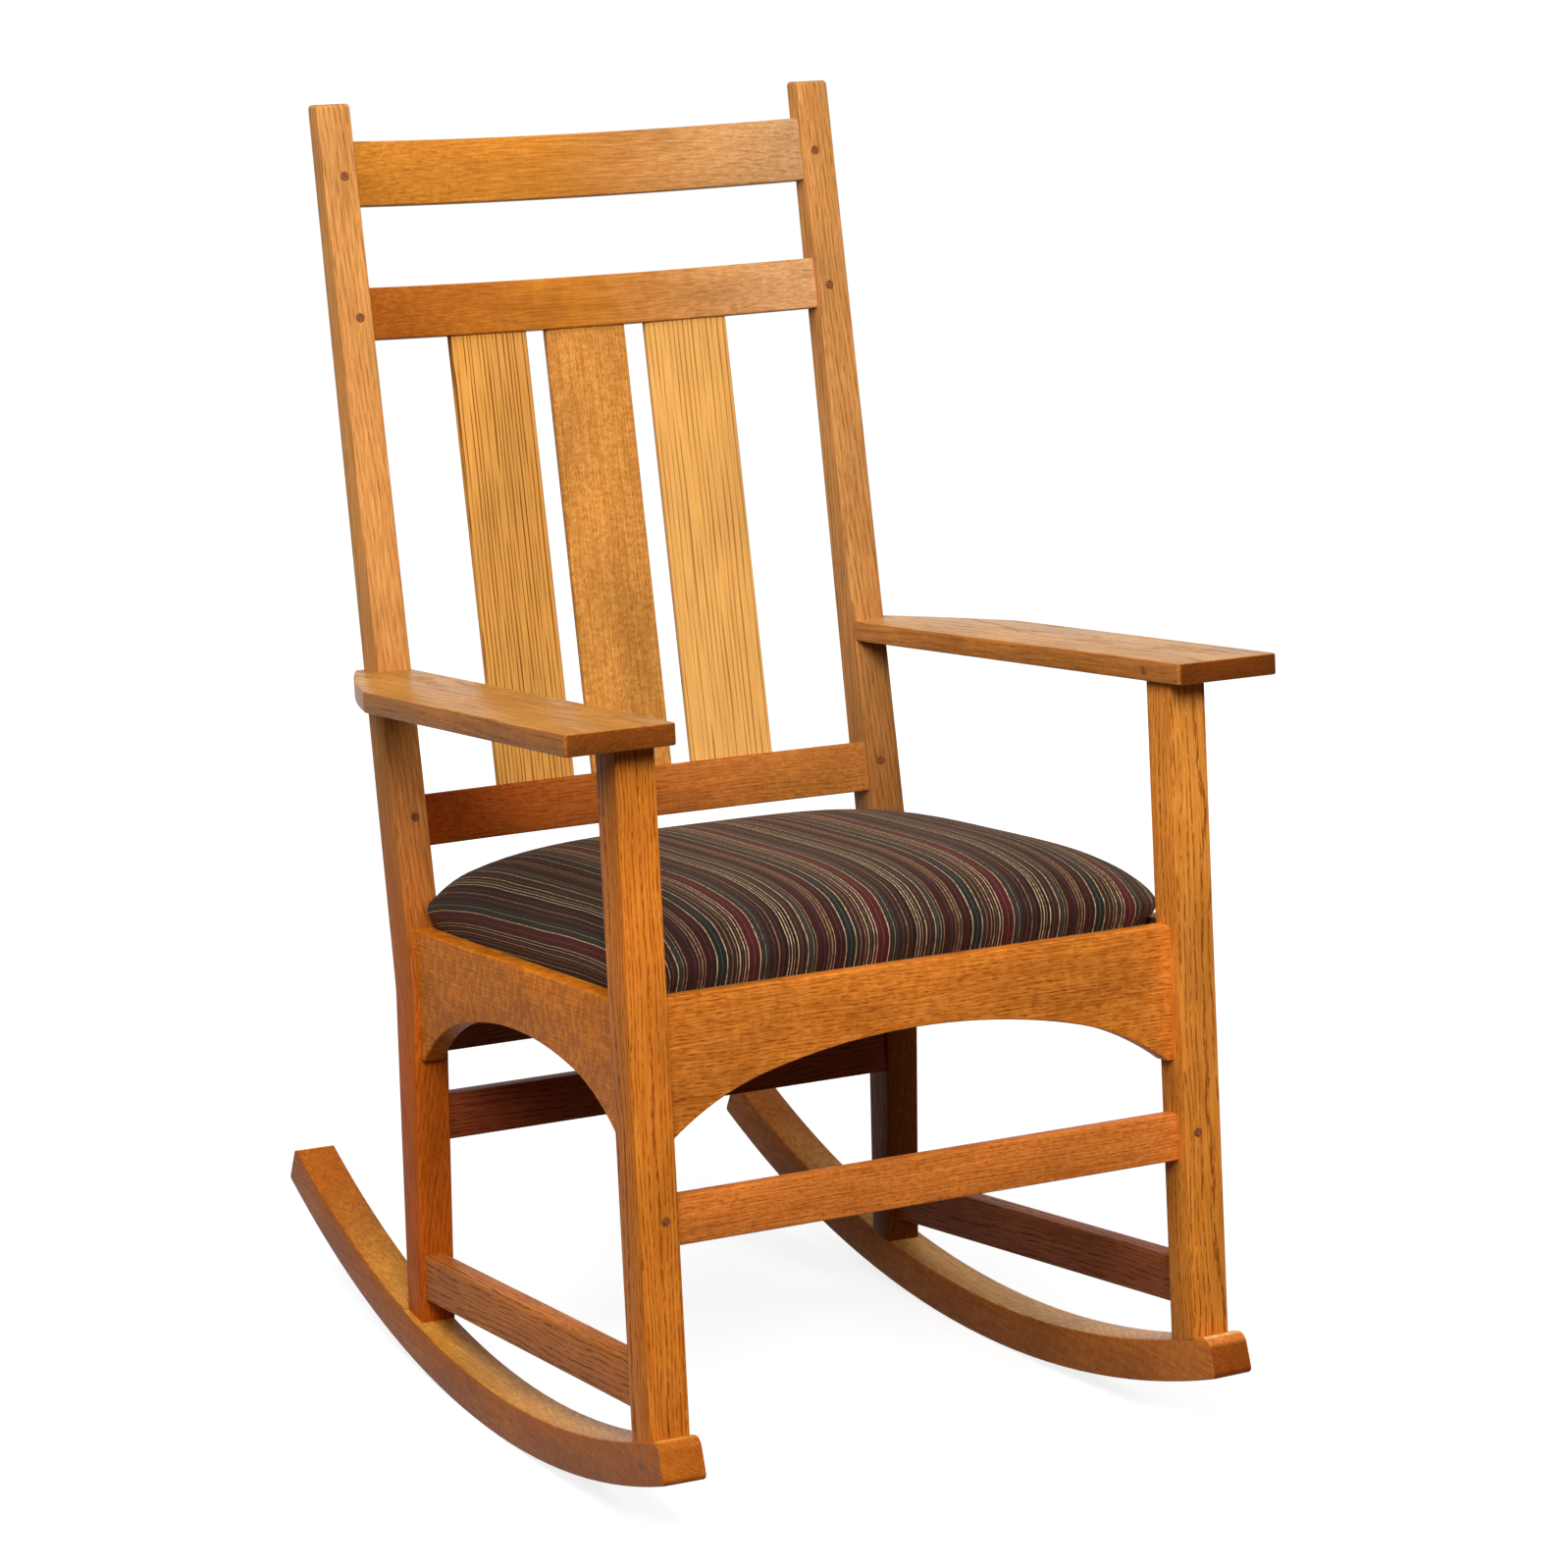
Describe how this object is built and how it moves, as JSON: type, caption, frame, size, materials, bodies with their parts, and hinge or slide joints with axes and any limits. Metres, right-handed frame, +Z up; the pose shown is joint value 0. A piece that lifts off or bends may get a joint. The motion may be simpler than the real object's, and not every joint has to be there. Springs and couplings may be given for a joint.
{
  "type": "mission rocking chair",
  "caption": "Oak rocking chair with arms, a bowed back of flat slats, arched seat rails, a drop-in striped cushion seat and two curved rockers.",
  "frame": {"origin": "on the floor, under the middle of the box that the chair at rest fills", "axes": "+X towards the sitter's left, +Y backwards, +Z up; the chair faces -Y and leans back 5.9 degrees on its rockers, the pose in which it stands in the picture"},
  "size_m": [0.6558, 0.8024, 1.0887],
  "materials": {
    "oak_golden": "satin lacquer over golden-brown quartersawn oak",
    "oak_amber": "satin lacquer over amber oak with ray fleck",
    "oak_pale": "satin lacquer over pale straight-grained oak",
    "oak_brown": "satin lacquer over dark reddish-brown oak",
    "oak_peg": "dark end grain, lacquered",
    "maple_block": "plain sawn, unfinished",
    "plywood": "plain, unfinished",
    "seat_foam": "upholstery foam",
    "striped_cloth": "ribbed weave striped in brown, charcoal, burgundy, teal and cream",
    "screw_steel": "zinc plated"
  },
  "bodies": {
    "root": {"front_post_left": "oak_golden", "front_post_right": "oak_golden", "rear_post_left": "oak_golden", "rear_post_right": "oak_golden", "crest_rail": "oak_golden", "upper_back_rail": "oak_amber", "lower_back_rail": "oak_brown", "back_slat_left": "oak_pale", "back_slat_centre": "oak_amber", "back_slat_right": "oak_pale", "front_seat_rail": "oak_golden", "side_seat_rail_left": "oak_amber", "side_seat_rail_right": "oak_amber", "rear_seat_rail": "oak_brown", "front_stretcher": "oak_golden", "side_stretcher_left": "oak_brown", "side_stretcher_right": "oak_brown", "rear_stretcher": "oak_brown", "arm_left": "oak_pale", "arm_right": "oak_pale", "rocker_left": "oak_brown", "rocker_right": "oak_brown", "corner_blocks": "maple_block", "corner_block_screws": "screw_steel", "seat_screws": "screw_steel", "seat_board": "plywood", "seat_pad": "seat_foam", "seat_cover": "striped_cloth", "back_rail_pegs": "oak_peg", "stretcher_pegs": "oak_peg", "arm_pegs": "oak_peg", "rocker_pegs": "oak_peg"}
  },
  "joints": []
}
